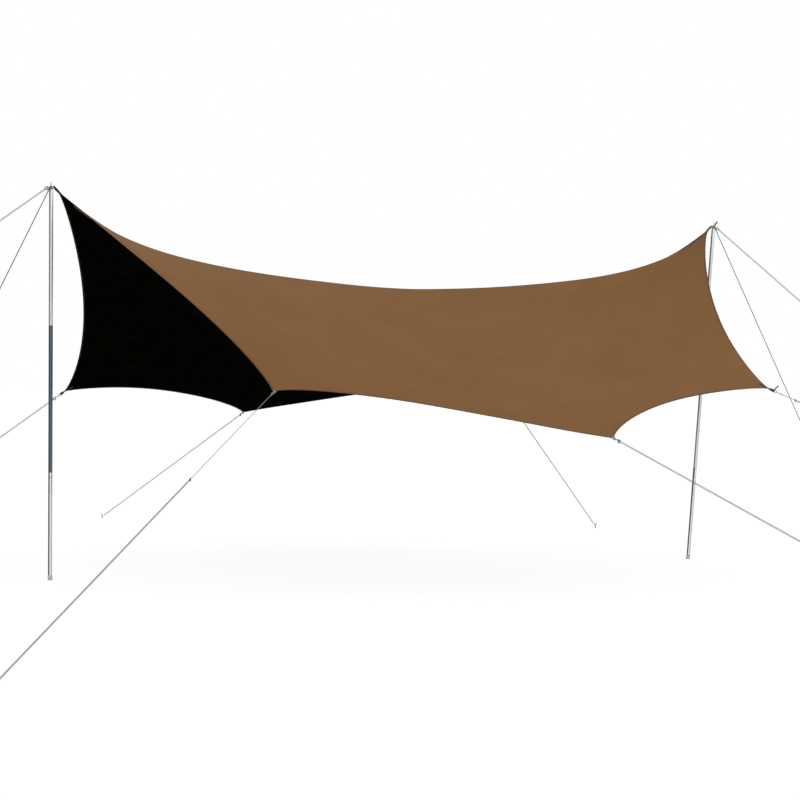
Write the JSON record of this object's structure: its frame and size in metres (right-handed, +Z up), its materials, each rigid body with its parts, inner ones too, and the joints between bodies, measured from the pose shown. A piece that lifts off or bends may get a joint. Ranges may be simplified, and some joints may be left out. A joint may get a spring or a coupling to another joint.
{
  "type": "tarp tent",
  "caption": "Open-sided camping tarp with hollow-cut edges, its ridge held between tall poles and its side corners tied down to ground pegs by guy lines.",
  "frame": {"origin": "on the ground, in the middle of the pegged-out layout", "axes": "+X along the ridge from the upright pole to the leaning one, +Y towards the far side corners, +Z up"},
  "size_m": [12.2645, 13.0781, 2.8449],
  "materials": {
    "cloth": "brown coated polyester outside, black coating inside",
    "webbing": "dark woven webbing with steel rings",
    "pale_webbing": "pale grey woven webbing with steel rings",
    "edge_tape": "dark brown woven tape folded over the cloth's cut edge",
    "fitting_steel": "plated steel rings and eyelets",
    "slider_plastic": "dark moulded plastic",
    "cord": "grey braided cord",
    "bright_steel": "bright galvanised tube",
    "slate_steel": "dark slate-blue tube",
    "grey_steel": "grey galvanised tube",
    "foot_rubber": "pale grey rubber",
    "peg_steel": "plain steel bar"
  },
  "bodies": {
    "root": {"canopy_far_1": "cloth", "canopy_far_2": "cloth", "canopy_far_3": "cloth", "canopy_far_4": "cloth", "canopy_near_1": "cloth", "canopy_near_2": "cloth", "canopy_near_3": "cloth", "canopy_near_4": "cloth", "guy_far_left": "cord", "guy_far_middle": "cord", "guy_far_right": "cord", "guy_left_pole_far": "cord", "guy_left_pole_near": "cord", "guy_near_left": "cord", "guy_near_middle": "cord", "guy_near_right": "cord", "guy_right_pole_far": "cord", "guy_right_pole_near": "cord", "peg_far_left": "peg_steel", "peg_far_middle": "peg_steel", "peg_far_right": "peg_steel", "peg_left_pole_far": "peg_steel", "peg_left_pole_near": "peg_steel", "peg_near_left": "peg_steel", "peg_near_middle": "peg_steel", "peg_near_right": "peg_steel", "peg_right_pole_far": "peg_steel", "peg_right_pole_near": "peg_steel", "pole_left_foot": "foot_rubber", "pole_left_lower": "bright_steel", "pole_left_middle": "slate_steel", "pole_left_upper": "grey_steel", "pole_right_foot": "foot_rubber", "pole_right_lower": "bright_steel", "pole_right_middle": "grey_steel", "pole_right_upper": "grey_steel", "strap_far_left": "webbing", "strap_far_middle": "pale_webbing", "strap_far_right": "webbing", "strap_near_left": "pale_webbing", "strap_near_middle": "pale_webbing", "strap_near_right": "webbing", "strap_peak_left": "webbing", "strap_peak_right": "webbing"}
  },
  "joints": []
}
